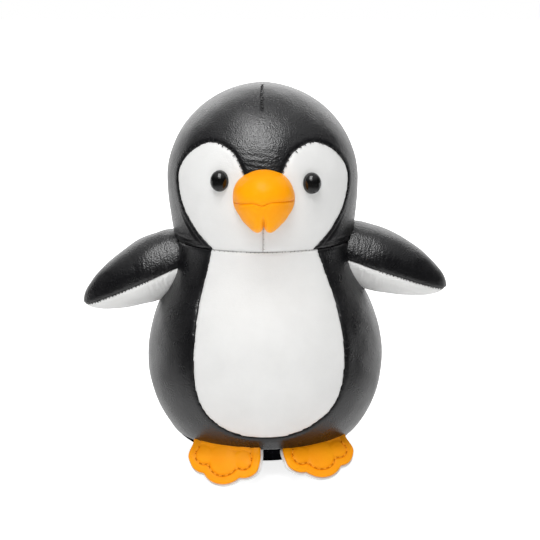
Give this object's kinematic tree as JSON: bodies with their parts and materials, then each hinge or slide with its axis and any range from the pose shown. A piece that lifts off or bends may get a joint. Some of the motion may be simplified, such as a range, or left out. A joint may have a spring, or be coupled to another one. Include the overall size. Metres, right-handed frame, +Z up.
{
  "type": "stuffed penguin",
  "caption": "Small upright stuffed penguin in smooth synthetic leather, with a round head, white face and belly, orange beak, sewn-on flippers and flat scalloped feet.",
  "frame": {"origin": "centre of the flat disc at the bottom of the base, on the floor it stands on", "axes": "+Z up through the crown; the face looks along -Y; +X is the toy's own left flipper"},
  "size_m": [0.1351, 0.0877, 0.1395],
  "materials": {
    "black_leather": "smooth semi-gloss with fine grain",
    "white_leather": "smooth satin with fine grain",
    "orange_leather": "smooth satin",
    "eye_plastic": "polished",
    "washer_plastic": "matte",
    "stuffing": "loose fibre filling",
    "orange_thread": "twisted polyester thread"
  },
  "bodies": {
    "torso": {"head_front_panel": "black_leather", "face_panel_left": "white_leather", "face_panel_right": "white_leather", "head_back_panel_left": "black_leather", "head_back_panel_right": "black_leather", "head_stuffing": "stuffing", "beak_upper_panel": "orange_leather", "beak_lower_panel": "orange_leather", "beak_stuffing": "stuffing", "eye_left": "eye_plastic", "eye_right": "eye_plastic", "eye_washer_left": "washer_plastic", "eye_washer_right": "washer_plastic", "belly_panel": "white_leather", "body_front_panel": "black_leather", "body_back_panel_left": "black_leather", "body_back_panel_right": "black_leather", "base_panel": "black_leather", "body_stuffing": "stuffing"},
    "flipper_left": {"flipper_left_top_panel": "black_leather", "flipper_left_under_panel": "white_leather", "flipper_left_stuffing": "stuffing"},
    "flipper_right": {"flipper_right_top_panel": "black_leather", "flipper_right_under_panel": "white_leather", "flipper_right_stuffing": "stuffing"},
    "foot_left": {"foot_left_top": "orange_leather", "foot_left_sole": "white_leather", "foot_left_stitching": "orange_thread"},
    "foot_right": {"foot_right_top": "orange_leather", "foot_right_sole": "white_leather", "foot_right_stitching": "orange_thread"}
  },
  "joints": [
    {"name": "flipper_left_flap", "type": "hinge", "parent": "torso", "child": "flipper_left", "pos_m": [0.0332, 0, 0.078], "axis": [0, -1, 0], "range_deg": [-6, 45], "stiffness_Nm_per_rad": 0.03},
    {"name": "flipper_right_flap", "type": "hinge", "parent": "torso", "child": "flipper_right", "pos_m": [-0.0334, 0, 0.075], "axis": [0, 1, 0], "range_deg": [-6, 45], "stiffness_Nm_per_rad": 0.03},
    {"name": "foot_left_flex", "type": "hinge", "parent": "torso", "child": "foot_left", "pos_m": [0.01873, -0.02862, 0.01235], "axis": [-0.891, -0.454, 0], "range_deg": [-10, 50], "stiffness_Nm_per_rad": 0.02},
    {"name": "foot_right_flex", "type": "hinge", "parent": "torso", "child": "foot_right", "pos_m": [-0.0132, -0.03155, 0.01235], "axis": [-0.9272, 0.3746, 0], "range_deg": [-10, 50], "stiffness_Nm_per_rad": 0.02}
  ]
}
